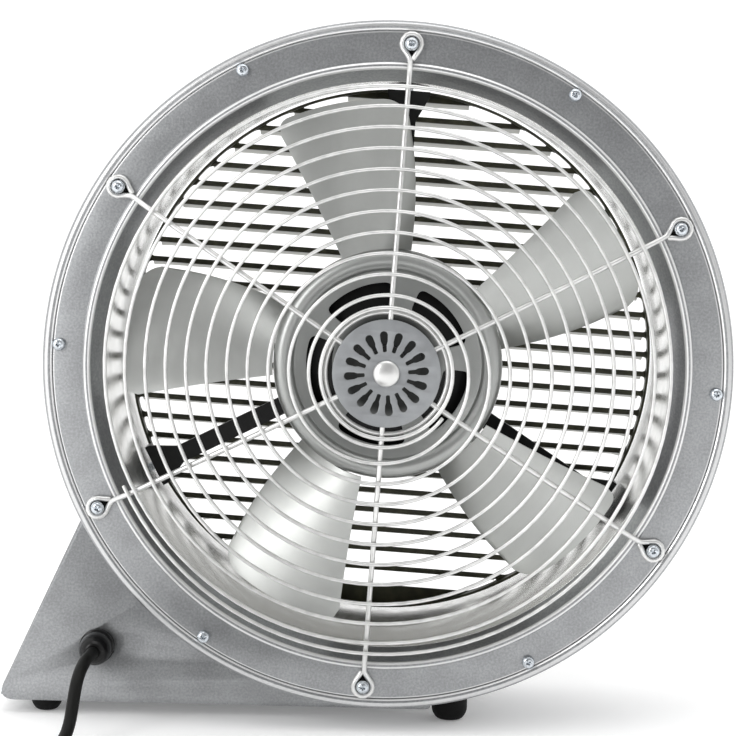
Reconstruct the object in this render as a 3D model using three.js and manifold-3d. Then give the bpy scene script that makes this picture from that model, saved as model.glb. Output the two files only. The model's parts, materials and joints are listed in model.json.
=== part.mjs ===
// A drum air mover: a five-blade axial impeller and its motor in a sheet-steel drum, on a
// low sheet-steel base. Millimetres, +Z up, the fan blows along Y and its guard faces -Y.
// The origin is on the floor, under the middle of the machine's box without its cord.
import * as THREE from "three";
import { mergeVertices } from "three/addons/utils/BufferGeometryUtils.js";
import Module from "manifold-3d";

const wasm = await Module();
wasm.setup();

// ---- driving dimensions ----
const AXIS = new THREE.Vector3(18.3, -74.4, 278); // where the impeller's axis meets the bead's plane
const DRUM_CLOCK = 3.2; // degrees that the drum is turned in its base, clockwise from the front
const GAP = 0.3; // between pieces that touch
const ROUND = 36; // segments round the large rings
const SHEET = 1.5; // drum and flange steel
const PLATE = 2; // base steel

const SHELL_R = 215; // drum, inside
const FACE_Y = 3; // the flat face, behind the bead's crest
const FACE_IN_R = 229;
const FACE_OUT_R = 251.6;
const RIM_R = 260; // rolled outer rim
const RIM_BACK = 34;
const SHELL_BACK = 174;

const RING_SCREW_R = 247.5;
const GUARD_SCREW_R = 242.6;
const SPOKE_WIRE = 4.3; // diameter
const SPIRAL_WIRE = 2.9;
const SPIRAL_R = 213.5; // the spiral's first half turn
const SPIRAL_END_R = 54; // and its last
const SPIRAL_STEP = 15.4;
const SPIRAL_TURNS = 11.33;
const SPIRAL_START = 205; // angle, anticlockwise from +X
const SPIRAL_OFFSET = [-1.9, -0.9]; // the spiral sits a little to one side
const DOME = 33; // how far the guard's middle stands out
const SPOKES = 6;

// Angles in the drum, anticlockwise from +X as seen from the front.
const ARM_ANGLES = [90, 210, 330];
const EYELETS = Array.from({ length: SPOKES }, (_, i) => 30 + i * 60);
const BETWEEN = Array.from({ length: SPOKES }, (_, i) => i * 60);

const HUB_R = 88;
const HUB_FRONT = 33;
const HUB_BACK = 72;
const TIP_R = 203;
const BLADES = 5;
const BLADE_SHEET = 2.4;
const BLADE_MID = 52; // depth of the middle of a blade

const MOTOR_R = 57;
const MOTOR_FRONT = 80;
const MOTOR_BACK = 150;
const SHAFT_R = 6;
const ARM_Y = 132;
const ARM_BOLT_Y = ARM_Y + 11;

const LOUVRE_Y = 168;
const LOUVRE_PITCH = 16.15;
const LOUVRE_RISE = 4.5; // of the middle slot above the axis
const LOUVRE_BAR = 4.2;
const LOUVRE_DEPTH = 19;
const LOUVRE_SLOPE = 11;

const BASE_FRONT = 35;
const BASE_BACK = 150;
const BASE_Z = -267.5; // underside of the base, from the axis
const BASE_LEFT = -300;
const BASE_RIGHT = 74;
const STEP = [38.5, -246]; // the base's underside steps up here, over its right feet
const CRADLE_R = 218.5;
const APEX = [-210.5, -72]; // where the sloping side meets the drum
const FEET = [
  { side: "left", x: -262.5, r: 12.4, top: BASE_Z },
  { side: "right", x: 53.5, r: 14.2, top: STEP[1] },
];
const FEET_Y = [52, 134];
const GLAND = [-220.6, -222.8];
const SWITCH = [-190, -215]; // on the rear plate, seen from the front

const CORD = 9.5; // diameter
const COIL = { x: -130.6, y: -310.4, inner: 38, turns: 7, layers: 2 };
// The cord from its gland to the coil, and from the coil to the plug.
const LEAD_ROUTE = [
  [-202.3, -66.7, 55.2], [-202.8, -76, 55.2], [-203.6, -86.4, 55], [-204.8, -97.2, 53.4],
  [-206.4, -107.4, 48.6], [-207.7, -116.1, 40.8], [-208.7, -123.4, 29.8], [-209.6, -130.7, 18.8],
  [-211, -139.4, 11.2], [-213, -149.4, 6.5], [-215.3, -160.4, 4.9], [-218.2, -176.4, 4.9],
  [-220.6, -194.4, 4.9], [-222.8, -212.4, 4.9], [-224.4, -230.4, 4.9], [-225.4, -248.4, 4.9],
  [-225.6, -266, 4.9],
];
const TAIL_ROUTE = [
  [-86, -405.4, 14.4], [-73.6, -404.8, 13.6], [-59.6, -402.4, 11.2], [-44.6, -397.4, 8],
  [-30.6, -388.9, 5.8], [-19.6, -377.4, 5], [-12.1, -363.4, 5.4], [-8.6, -348.4, 7.4],
  [-7.6, -333.4, 10.4], [-7.6, -319.4, 12],
];
const PLUG = { x: -7.6, y: -319, z: 12, wide: 27, thick: 24, long: 36 };

// ---- finishes ----
const finish = (color, metalness, roughness) =>
  new THREE.MeshStandardMaterial({ color, metalness, roughness });
const HAMMERTONE = finish(0x94969a, 0.45, 0.5);
const BRIGHT_STEEL = finish(0xb9b9b4, 0.9, 0.35);
const SATIN = finish(0xb4b5b0, 0.85, 0.4);
const WIRE = finish(0xdcdcdc, 0.9, 0.3);
const ZINC = finish(0xc9cbce, 0.9, 0.3);
const GREY_PAINT = finish(0x828487, 0.3, 0.55);
const BLACK_PAINT = finish(0x161616, 0.2, 0.45);
const RUBBER = finish(0x141414, 0, 0.8);
const PLASTIC = finish(0x1a1a1a, 0, 0.5);
const CORD_BLACK = finish(0x1c1d1a, 0, 0.6);

// ---- helpers ----
const radians = THREE.MathUtils.degToRad;

function solid(geometry) {
  const bare = geometry.clone();
  bare.deleteAttribute("normal");
  bare.deleteAttribute("uv");
  const merged = mergeVertices(bare, 1e-4);
  return new wasm.Manifold(
    new wasm.Mesh({
      numProp: 3,
      vertProperties: merged.attributes.position.array,
      triVerts: new Uint32Array(merged.index.array),
    }),
  );
}

function geometryOf(body) {
  const { vertProperties, triVerts } = body.getMesh();
  const geometry = new THREE.BufferGeometry();
  geometry.setAttribute("position", new THREE.BufferAttribute(vertProperties, 3));
  geometry.setIndex(new THREE.BufferAttribute(triVerts, 1));
  geometry.computeVertexNormals();
  return geometry;
}

const join = (...parts) => geometryOf(parts.map(solid).reduce((a, b) => a.add(b)));
const cut = (part, ...tools) =>
  geometryOf(tools.map(solid).reduce((left, tool) => left.subtract(tool), solid(part)));

// A closed profile of [radius, depth] points, turned round the Y axis.
function turned(profile, segments = ROUND) {
  const points = profile.map(([r, y]) => new THREE.Vector2(r, y));
  const area = THREE.ShapeUtils.area(points);
  if (area < 0) points.reverse();
  const onAxis = points.findIndex((p, i) => p.x === 0 && points.at(i - 1).x === 0);
  if (onAxis >= 0) points.push(...points.splice(0, onAxis));
  else points.push(points[0].clone());
  return new THREE.LatheGeometry(points, segments);
}

// A flat sheet in the XZ plane, from depth y backwards.
const plate = (shape, y, thickness, curveSegments = 12) =>
  new THREE.ExtrudeGeometry(shape, { depth: thickness, bevelEnabled: false, curveSegments })
    .rotateX(Math.PI / 2)
    .translate(0, y + thickness, 0);

const rod = (r, y0, y1, segments = 12) =>
  new THREE.CylinderGeometry(r, r, y1 - y0, segments).translate(0, (y0 + y1) / 2, 0);

// A rod along +X, at the depth of the bolts that hold the motor's arms.
const radialRod = (r, x0, x1, segments = 12) =>
  rod(r, x0, x1, segments).rotateZ(-Math.PI / 2).translate(0, ARM_BOLT_Y, 0);

// Turns a piece from the +X direction to an angle, anticlockwise as seen from the front.
const atAngle = (geometry, degrees) => geometry.rotateY(-radians(degrees));
const atPolar = (geometry, r, degrees) => atAngle(geometry.translate(r, 0, 0), degrees);

function circle(r, sides) {
  const corner = (_, i) => {
    const a = ((i + 0.5) / sides) * 2 * Math.PI;
    return new THREE.Vector2(r * Math.cos(a), r * Math.sin(a));
  };
  return new THREE.Shape(Array.from({ length: sides }, corner));
}

const wireAlong = (curve, diameter, steps, sides = 6) =>
  new THREE.ExtrudeGeometry(circle(diameter / 2, sides), { extrudePath: curve, steps });

const smooth = (points) =>
  new THREE.CatmullRomCurve3(points.map((p) => new THREE.Vector3(...p)));

// A wire ring of the given diameter, round the Y axis.
function wireRing(r, y, diameter, sides = 6, segments = ROUND) {
  const section = circle(diameter / 2, sides).getPoints().slice(0, sides);
  return turned(section.map((p) => [r + p.x, y + p.y]), segments);
}

const polygon = (points) => new THREE.Path(points.map((p) => new THREE.Vector2(...p)));

function disc(r, sides) {
  const shape = new THREE.Shape();
  const corner = (_, i) => {
    const a = (i / sides) * 2 * Math.PI;
    return new THREE.Vector2(r * Math.cos(a), r * Math.sin(a));
  };
  shape.setFromPoints(Array.from({ length: sides }, corner));
  return shape;
}

// A slot in a flat sheet, its ends pointed like a shallow roof.
const slot = (half, height, z) => polygon([
  [height / 2 - half, z - height / 2], [half - height / 2, z - height / 2], [half, z],
  [half - height / 2, z + height / 2], [height / 2 - half, z + height / 2], [-half, z],
]);

const machine = new THREE.Group();
const fan = new THREE.Group(); // everything placed from the impeller's axis
const drum = new THREE.Group(); // what is clocked in the base
fan.position.copy(AXIS);
drum.rotation.y = radians(DRUM_CLOCK);
fan.add(drum);
machine.add(fan);

function add(parent, name, geometry, material) {
  const mesh = new THREE.Mesh(geometry, material);
  mesh.name = name;
  parent.add(mesh);
}

// ---- drum, rim and face ring ----
function drumShell() {
  const out = SHELL_R + SHEET;
  const shell = turned([
    [SHELL_R, 19.6], [out, 19.6], [out, SHELL_BACK], [SHELL_R, SHELL_BACK],
  ]);
  const bolts = ARM_ANGLES.map((a) => atAngle(radialRod(4, 200, 230), a));
  return cut(shell, ...bolts);
}

// The ring that carries the rim: a collar on the drum's front edge, flared out behind the cone.
function drumFlange() {
  const r = SHELL_R + SHEET + GAP;
  return turned([
    [r, 32], [r, 20.6], [FACE_IN_R + 1, 7.4], [236, 7.4], [236, 8.9], [FACE_IN_R + 2, 8.9],
    [r + SHEET, 21.6], [r + SHEET, 32],
  ]);
}

function screwHoles(angles, r) {
  return angles.map((a) => atPolar(rod(2.8, -10, 20, 8), r, a));
}

// The face plate: a rolled bead on its inner edge, then a cone down into the drum.
function frontRing() {
  const ring = turned([
    [FACE_OUT_R, FACE_Y], [FACE_IN_R, FACE_Y], [228, 0.7], [226.5, 0], [225, 0.7],
    [223.5, 3], [SHELL_R, 18], [SHELL_R + 1.4, 18.6], [FACE_IN_R, 5.5],
    [FACE_IN_R + 1, FACE_Y + SHEET], [FACE_OUT_R, FACE_Y + SHEET],
  ]);
  return cut(ring, ...screwHoles(EYELETS, GUARD_SCREW_R), ...screwHoles(BETWEEN, RING_SCREW_R));
}

// The outer rim: a flange behind the face plate, rolled forwards and back to a short wall.
function casingRim() {
  const y = FACE_Y + SHEET + GAP;
  const rim = turned([
    [232, y], [252.4, y], [252.4, 2.6], [253.6, 1.2], [255.4, 1.2], [258.2, 3.6],
    [RIM_R, 9], [RIM_R, RIM_BACK], [RIM_R - SHEET, RIM_BACK], [RIM_R - SHEET, 10],
    [256.6, 5.6], [254.6, 3.6], [254, y + SHEET], [232, y + SHEET],
  ]);
  return cut(rim, ...screwHoles(EYELETS, GUARD_SCREW_R), ...screwHoles(BETWEEN, RING_SCREW_R));
}

// The rear ring: a collar round the drum's back edge, with a small rolled bead.
function rearRing() {
  const r = SHELL_R + SHEET + 0.9;
  return turned([
    [r, 166], [r + SHEET, 166], [r + SHEET, 173], [235, 173], [238, 175], [238, 179],
    [235, 181], [232, 179], [234, 176.5], [232, 174.8], [r, 174.8],
  ]);
}

// ---- louvred rear panel ----
function louvrePanel() {
  const openR = 209;
  const rows = Math.floor((openR - LOUVRE_PITCH / 2) / LOUVRE_PITCH);
  const height = LOUVRE_PITCH - LOUVRE_BAR;
  const face = disc(SHELL_R - 2, ROUND);
  const tongues = [];
  for (let row = -rows; row <= rows; row += 1) {
    const z = LOUVRE_RISE + row * LOUVRE_PITCH;
    const edge = Math.abs(z) + height / 2;
    const half = Math.sqrt(openR ** 2 - edge ** 2) + 2;
    face.holes.push(slot(half, height, z));
    tongues.push(
      new THREE.BoxGeometry(2 * half - 8, LOUVRE_DEPTH, SHEET)
        .translate(0, LOUVRE_DEPTH / 2, -SHEET / 2)
        .rotateX(-radians(LOUVRE_SLOPE))
        .translate(0, LOUVRE_Y + 0.2, z + height / 2 + 1.2),
    );
  }
  const collar = turned([
    [SHELL_R - 4, LOUVRE_Y - 8], [SHELL_R - 2, LOUVRE_Y - 8],
    [SHELL_R - 2, LOUVRE_Y + 1], [SHELL_R - 4, LOUVRE_Y + 1],
  ]);
  return join(plate(face, LOUVRE_Y, SHEET), collar, ...tongues);
}

// ---- wire guard ----
const spiralDepth = (r) => -DOME + 21 * (r / SHELL_R) ** 2;
const spokeDepth = (r) => spiralDepth(r) + (SPOKE_WIRE + SPIRAL_WIRE) / 2 + GAP;
const DISC_Y = spokeDepth(20) - SPOKE_WIRE / 2 - GAP - 1.6;

// One spoke, from under the disc, over the bead and round its screw in an open eyelet.
function spoke() {
  const onFace = FACE_Y - GAP - SPOKE_WIRE / 2;
  const out = [20, 70, 120, 170, 205, 217].map((r) => [r, spokeDepth(r), 0]);
  const eyelet = [
    [226.5, -3, 0], [231, -0.6, 0.6], [235.5, onFace, 4.4], [240, onFace, 7],
    [245, onFace, 6.8], [249, onFace, 3.6], [250, onFace, -0.6], [248, onFace, -4.8],
    [243.5, onFace, -7.2], [239, onFace, -6.2], [235.8, onFace, -3.2],
  ];
  return wireAlong(smooth([...out, ...eyelet]), SPOKE_WIRE, 30, 5);
}

function guardSpokes() {
  const y = spokeDepth(47);
  const hub = turned([[6.2, y - 2], [24, y - 2], [24, y + 2], [6.2, y + 2]], 16);
  const ring = wireRing(47, y, SPOKE_WIRE, 5, 24);
  return join(hub, ring, ...EYELETS.map((a) => atAngle(spoke(), a)));
}

// It runs inwards anticlockwise: evenly, but round for its first and last half turns.
class Spiral extends THREE.Curve {
  getPoint(t, target = new THREE.Vector3()) {
    const n = t * SPIRAL_TURNS;
    const above = (x) => 1.5 * Math.log(1 + Math.exp(x / 1.5)); // x if well above 0, else 0
    const outer = SPIRAL_R - above(SPIRAL_STEP * (n - 0.62));
    const r = SPIRAL_END_R + above(outer - SPIRAL_END_R);
    const a = radians(SPIRAL_START + DRUM_CLOCK) + 2 * Math.PI * n;
    const [x, z] = SPIRAL_OFFSET;
    return target.set(x + r * Math.cos(a), spiralDepth(r), z + r * Math.sin(a));
  }
}

const guardSpiral = () =>
  wireAlong(new Spiral(), SPIRAL_WIRE, Math.round(SPIRAL_TURNS * 22), 4);

function centreDisc() {
  const face = disc(40, 32);
  face.holes.push(disc(6.2, 14));
  for (let i = 0; i < 16; i += 1) {
    const at = (r, t) => {
      const a = radians(98 + i * 22.5);
      return [r * Math.cos(a) - t * Math.sin(a), r * Math.sin(a) + t * Math.cos(a)];
    };
    const keyhole = new THREE.Path();
    keyhole.moveTo(...at(16.4, 1.4));
    [[16.4, -1.4], [22, -1.6], [24, -2.9], [29.5, -2.9], [31.4, 0], [29.5, 2.9], [24, 2.9],
      [22, 1.6]].forEach((p) => keyhole.lineTo(...at(...p)));
    face.holes.push(keyhole);
  }
  return plate(face, DISC_Y, 1.6, 16);
}

const centreRivet = () => turned([
  [0, DISC_Y - 5], [5, DISC_Y - 4.2], [9.8, DISC_Y - GAP - 0.2], [5.6, DISC_Y - GAP - 0.2],
  [5.6, DISC_Y + 8], [0, DISC_Y + 8],
], 14);

// A pan-head screw with a washer face, seated at depth y.
const panScrew = (y, washer) => turned([
  [0, y - 4], [3.4, y - 3.6], [washer, y - 1.2], [washer, y], [2.3, y],
  [2.3, y + 13], [0, y + 13],
], 8);

// ---- impeller ----
function impellerHub() {
  const t = 2.4;
  const dish = turned([
    [HUB_R, HUB_BACK], [HUB_R, HUB_FRONT + 9], [86, HUB_FRONT + 3.4], [81, HUB_FRONT],
    [76, HUB_FRONT + 1.4], [72.5, HUB_FRONT + 6], [26, 52], [26, 50], [14, 50], [14, 46],
    [SHAFT_R + GAP, 46], [SHAFT_R + GAP, 66], [14, 66], [14, 56], [70, 44 + t],
    [76, HUB_FRONT + 6], [81, HUB_FRONT + t], [HUB_R - t, HUB_FRONT + 9],
    [HUB_R - t, HUB_BACK],
  ], 30);
  const kidney = new THREE.Shape();
  const half = radians(26);
  kidney.absarc(0, 0, 63, -half, half, false);
  kidney.absarc(0, 0, 43, half, -half, true);
  const windows = Array.from({ length: BLADES }, (_, i) =>
    atAngle(plate(kidney, 30, 40, 4), 41.8 + DRUM_CLOCK + i * 72));
  return cut(dish, ...windows);
}

// A cambered, twisted sheet blade with rounded tip corners, welded along the hub's wall.
function blade() {
  const spans = 6;
  const chords = 7;
  const root = HUB_R + GAP;
  const point = (u, v, side) => {
    const full = root + (TIP_R - root) * u;
    const middle = radians(24.65 + 4.05 * u);
    const half = radians(17.35 - 2.05 * u);
    const w = 2 * v - 1; // -1 on the trailing edge, 1 on the leading edge
    const corner = w > 0 ? 10 : 24;
    const inset = Math.max(0, corner - (1 - Math.abs(w)) * half * full);
    const round = u * (corner - Math.sqrt(Math.max(0, corner ** 2 - inset ** 2)));
    const r = full - round * u;
    const a = middle + w * half;
    const y = BLADE_MID - w * (18 - 4 * u) + 7 * (w * w - 1) + side * BLADE_SHEET * 0.5;
    return [r * Math.cos(a), y, r * Math.sin(a)];
  };
  const positions = [];
  const quad = (a, b, c, d) => positions.push(...a, ...b, ...c, ...a, ...c, ...d);
  const grid = (i, j, side) => point(i / spans, j / chords, side);
  for (let i = 0; i < spans; i += 1) {
    for (let j = 0; j < chords; j += 1) {
      quad(grid(i, j, -1), grid(i + 1, j, -1), grid(i + 1, j + 1, -1), grid(i, j + 1, -1));
      quad(grid(i, j, 1), grid(i, j + 1, 1), grid(i + 1, j + 1, 1), grid(i + 1, j, 1));
    }
    quad(grid(i, 0, -1), grid(i, 0, 1), grid(i + 1, 0, 1), grid(i + 1, 0, -1));
    quad(grid(i, chords, 1), grid(i, chords, -1), grid(i + 1, chords, -1), grid(i + 1, chords, 1));
  }
  for (let j = 0; j < chords; j += 1) {
    quad(grid(0, j, 1), grid(0, j, -1), grid(0, j + 1, -1), grid(0, j + 1, 1));
    quad(grid(spans, j, -1), grid(spans, j, 1), grid(spans, j + 1, 1), grid(spans, j + 1, -1));
  }
  return new THREE.BufferGeometry().setAttribute(
    "position",
    new THREE.Float32BufferAttribute(positions, 3),
  );
}

const hexNut = (r, y0, y1, bore) =>
  cut(new THREE.CylinderGeometry(r, r, y1 - y0, 6).translate(0, (y0 + y1) / 2, 0),
    rod(bore, y0 - 1, y1 + 1));

// ---- motor and its arms ----
const motorCan = () => turned([
  [MOTOR_R, MOTOR_FRONT + 4], [MOTOR_R, MOTOR_BACK - 10], [MOTOR_R - 3, MOTOR_BACK - 10],
  [MOTOR_R - 3, MOTOR_FRONT + 4],
], 28);

const motorFrontCap = () => turned([
  [MOTOR_R, MOTOR_FRONT + 4 - GAP], [MOTOR_R, MOTOR_FRONT + 1], [MOTOR_R - 4, MOTOR_FRONT - 2],
  [22, MOTOR_FRONT - 5], [16, MOTOR_FRONT - 6], [SHAFT_R + 1, MOTOR_FRONT - 6],
  [SHAFT_R + 1, MOTOR_FRONT - 4], [13.3, MOTOR_FRONT - 4], [13.3, MOTOR_FRONT + 4 - GAP],
], 28);

const motorRearCap = () => turned([
  [MOTOR_R, MOTOR_BACK - 10 + GAP], [MOTOR_R, MOTOR_BACK - 6], [MOTOR_R - 6, MOTOR_BACK - 3],
  [SHAFT_R + 1, MOTOR_BACK - 2], [SHAFT_R + 1, MOTOR_BACK - 4], [13.3, MOTOR_BACK - 4],
  [13.3, MOTOR_BACK - 10 + GAP],
], 28);

const bearing = (y) => turned([
  [SHAFT_R + GAP, y], [13, y], [13, y + 6], [SHAFT_R + GAP, y + 6],
], 16);

// A flat bar from the motor to the drum, flared at its end and bent back along the wall.
function motorArm() {
  const bar = new THREE.Shape();
  bar.moveTo(MOTOR_R + 1, -7);
  [[188, -7], [208, -17], [210.5, -17], [210.5, 17], [208, 17], [188, 7], [MOTOR_R + 1, 7]]
    .forEach((p) => bar.lineTo(...p));
  const flange = new THREE.BoxGeometry(3, 20, 34).translate(210.5, ARM_Y + 10, 0);
  return cut(join(plate(bar, ARM_Y, 4), flange), radialRod(4, 200, 230));
}

const armBolt = () => join(radialRod(7, 203.6, 208.6, 6), radialRod(3.3, 206, 224, 8));

// ---- base ----
const [stepX, stepZ] = STEP;
const slopeRun = (APEX[0] - BASE_LEFT) / (APEX[1] - BASE_Z);
const slopeX = (z) => BASE_LEFT + slopeRun * (z - BASE_Z);

// The base's side outline, with a round lower-left corner and the drum's cradle on top.
function baseOutline() {
  const shape = new THREE.Shape();
  shape.moveTo(BASE_LEFT + 15, BASE_Z);
  shape.lineTo(stepX - 4, BASE_Z);
  shape.quadraticCurveTo(stepX, BASE_Z, stepX, BASE_Z + 4);
  shape.lineTo(stepX, stepZ);
  shape.lineTo(BASE_RIGHT - 8, stepZ);
  shape.quadraticCurveTo(BASE_RIGHT, stepZ, BASE_RIGHT, stepZ + 8);
  shape.lineTo(BASE_RIGHT, -Math.sqrt(CRADLE_R ** 2 - BASE_RIGHT ** 2));
  const from = -Math.acos(BASE_RIGHT / CRADLE_R);
  const to = Math.atan2(APEX[1], APEX[0]);
  shape.absarc(0, 0, CRADLE_R, from, to, true);
  shape.lineTo(slopeX(BASE_Z + 14), BASE_Z + 14);
  shape.quadraticCurveTo(slopeX(BASE_Z + 1), BASE_Z, BASE_LEFT + 15, BASE_Z);
  return shape;
}

const baseFrontPlate = () => cut(plate(baseOutline(), BASE_FRONT, PLATE),
  rod(10.4, 0, 60).translate(GLAND[0], 0, GLAND[1]));

const baseRearPlate = () => cut(plate(baseOutline(), BASE_BACK, PLATE),
  new THREE.BoxGeometry(27, 60, 20).translate(SWITCH[0], BASE_BACK, SWITCH[1]));

// The strip that closes the base's sides and bottom, between the two plates.
function baseSkirt() {
  const outer = [
    [slopeX(-80), -80], [slopeX(BASE_Z + 14), BASE_Z + 14], [slopeX(BASE_Z + 6) + 1, BASE_Z + 4],
    [BASE_LEFT + 15, BASE_Z], [stepX - 4, BASE_Z], [stepX, BASE_Z + 4], [stepX, stepZ],
    [BASE_RIGHT - 8, stepZ], [BASE_RIGHT - 2, stepZ + 2], [BASE_RIGHT, stepZ + 8],
    [BASE_RIGHT, -209],
  ];
  const inner = [
    [BASE_RIGHT - PLATE, -209], [BASE_RIGHT - PLATE, stepZ + 9], [BASE_RIGHT - 9, stepZ + PLATE],
    [stepX - PLATE, stepZ + PLATE], [stepX - PLATE, BASE_Z + 5], [stepX - 5, BASE_Z + PLATE],
    [BASE_LEFT + 16, BASE_Z + PLATE], [slopeX(BASE_Z + 15) + 2.2, BASE_Z + 15],
    [slopeX(-80) + 2.2, -80],
  ];
  const shape = new THREE.Shape([...outer, ...inner].map(([x, z]) => new THREE.Vector2(x, z)));
  return plate(shape, BASE_FRONT + PLATE + GAP, BASE_BACK - BASE_FRONT - PLATE - 2 * GAP);
}

// A tapered rubber foot, from the floor up to the base's underside.
const foot = (r, top) => turned([
  [0, 0], [r - 5, 0], [r - 3, 1.6], [r - 0.8, 5], [r, 8], [r, top + AXIS.z - GAP],
  [0, top + AXIS.z - GAP],
], 14).rotateX(Math.PI / 2);

// Cable gland: a threaded body through the front plate, and a tapering cap round the cord.
const cableGland = () => turned([
  [0, 8], [6.4, 8], [8.5, 10], [11.6, 16], [12.5, 20], [12.5, 29], [13.4, 29.5],
  [13.4, BASE_FRONT - GAP], [9.7, BASE_FRONT - GAP], [9.7, 50], [0, 50],
], 16);

const glandNut = () => hexNut(15, BASE_FRONT + PLATE + GAP, BASE_FRONT + PLATE + 6, 10.4);

// ---- electrical ----
const switchBezel = () => join(
  new THREE.BoxGeometry(32, 2.5, 25).translate(0, BASE_BACK + PLATE + GAP + 1.25, 0),
  new THREE.BoxGeometry(26.4, 26, 19.4).translate(0, BASE_BACK + PLATE + GAP - 13 + 0.2, 0),
);

function hollowBezel() {
  const well = new THREE.BoxGeometry(21, 13, 15).translate(0, BASE_BACK + PLATE + 0.5, 0);
  return cut(switchBezel(), well).translate(SWITCH[0], 0, SWITCH[1]);
}

// A shallow V of a rocker, tilted on its pin to the off side.
function switchRocker() {
  const side = new THREE.Shape();
  side.moveTo(-9.6, 3.6);
  [[0, 1.6], [9.6, 3.6], [8.6, -0.5], [3, -3], [-3, -3], [-8.6, -0.5]]
    .forEach((p) => side.lineTo(...p));
  return new THREE.ExtrudeGeometry(side, { depth: 14, bevelEnabled: false })
    .translate(0, -1.2, -7)
    .rotateZ(-radians(8))
    .translate(SWITCH[0], BASE_BACK + PLATE + 1.2, SWITCH[1]);
}

const capacitor = () => turned([
  [0, 60], [16, 60], [17, 61], [17, 118], [16, 119], [0, 119],
], 18).translate(-150, 0, BASE_Z + 22);

const terminalBlock = () =>
  new THREE.BoxGeometry(40, 22, 16).translate(-226, 72, BASE_Z + 12);

// ---- carry handle, behind the top of the rim ----
function carryHandle() {
  const r = 246;
  const ends = [45, 156.5];
  const [front, rear] = ends;
  const strap = smooth([
    [0, front, 218.5], [0, front + 1, 236], [0, front + 10, r], [0, (front + rear) / 2, r + 2],
    [0, rear - 10, r], [0, rear - 1, 236], [0, rear, 218.5],
  ]);
  const feet = ends.map((y) => new THREE.BoxGeometry(30, 16, 3).translate(0, y, 218.6));
  return join(wireAlong(strap, 14, 18, 8), ...feet);
}

// ---- plug ----
function plug() {
  const { wide, thick, long } = PLUG;
  const side = new THREE.Shape();
  side.moveTo(-5.4, 0.3);
  [[5.4, 0.3], [7, 16], [wide / 2, 22], [wide / 2, 22 + long], [-wide / 2, 22 + long],
    [-wide / 2, 22], [-7, 16]].forEach((p) => side.lineTo(...p));
  const body = new THREE.ExtrudeGeometry(side, { depth: thick - 2, bevelEnabled: false })
    .translate(0, 0, 1 - thick / 2);
  const tip = 22 + long;
  const blades = [-6.35, 6.35].map((x) =>
    new THREE.BoxGeometry(1.6, 17, 6.4).translate(x, tip + 8, -3));
  const earth = rod(2.4, tip - 1, tip + 19, 10).translate(0, 0, 6.2);
  return join(body, ...blades, earth).translate(PLUG.x, PLUG.y, PLUG.z);
}

function coilSolid() {
  const outer = COIL.inner + (COIL.turns - 1) * CORD + CORD / 2 + 0.2;
  const inner = COIL.inner - CORD / 2 - 0.2;
  const top = COIL.layers * CORD + 0.3;
  return turned([[inner, 0.1], [outer, 0.1], [outer, top], [inner, top]], 28)
    .rotateX(Math.PI / 2)
    .translate(COIL.x, COIL.y, 0);
}

// ---- assembly ----
add(drum, "drum_shell", drumShell(), BRIGHT_STEEL);
add(drum, "drum_flange", drumFlange(), HAMMERTONE);
add(drum, "front_ring", frontRing(), HAMMERTONE);
add(drum, "casing_rim", casingRim(), HAMMERTONE);
add(drum, "rear_ring", rearRing(), HAMMERTONE);
add(drum, "rear_louvre_panel", louvrePanel(), BRIGHT_STEEL);
add(drum, "guard_spokes", guardSpokes(), WIRE);
add(drum, "guard_spiral", guardSpiral(), WIRE);
add(drum, "guard_inner_ring", wireRing(46.5, spiralDepth(47), 3.2, 5, 30), WIRE);
add(drum, "centre_disc", centreDisc(), GREY_PAINT);
add(drum, "centre_rivet", centreRivet(), ZINC);
EYELETS.forEach((a, i) => {
  const seat = FACE_Y - GAP - SPOKE_WIRE - GAP;
  add(drum, `guard_screw_${i + 1}`, atPolar(panScrew(seat, 5.6), GUARD_SCREW_R, a), ZINC);
});
BETWEEN.forEach((a, i) => {
  const seat = FACE_Y - GAP;
  add(drum, `ring_screw_${i + 1}`, atPolar(panScrew(seat, 4.9), RING_SCREW_R, a), ZINC);
});

add(drum, "impeller_hub", impellerHub(), SATIN);
for (let i = 0; i < BLADES; i += 1) {
  add(drum, `blade_${i + 1}`, atAngle(blade(), DRUM_CLOCK + i * 72), SATIN);
}
add(drum, "motor_shaft", rod(SHAFT_R, 38, MOTOR_BACK - 3, 14), BRIGHT_STEEL);
add(drum, "motor_rotor", turned([
  [SHAFT_R + GAP, 92], [40, 92], [40, 132], [SHAFT_R + GAP, 132],
], 20), BRIGHT_STEEL);
add(drum, "motor_can", motorCan(), BLACK_PAINT);
add(drum, "motor_front_cap", motorFrontCap(), BLACK_PAINT);
add(drum, "motor_rear_cap", motorRearCap(), BLACK_PAINT);
add(drum, "front_bearing", bearing(MOTOR_FRONT - 4 + GAP), BRIGHT_STEEL);
add(drum, "rear_bearing", bearing(MOTOR_BACK - 10 - GAP), BRIGHT_STEEL);
ARM_ANGLES.forEach((a, i) => {
  add(drum, `motor_arm_${i + 1}`, atAngle(motorArm(), a), BLACK_PAINT);
  add(drum, `arm_bolt_${i + 1}`, atAngle(armBolt(), a), ZINC);
});
add(drum, "carry_handle", carryHandle(), RUBBER);

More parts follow.
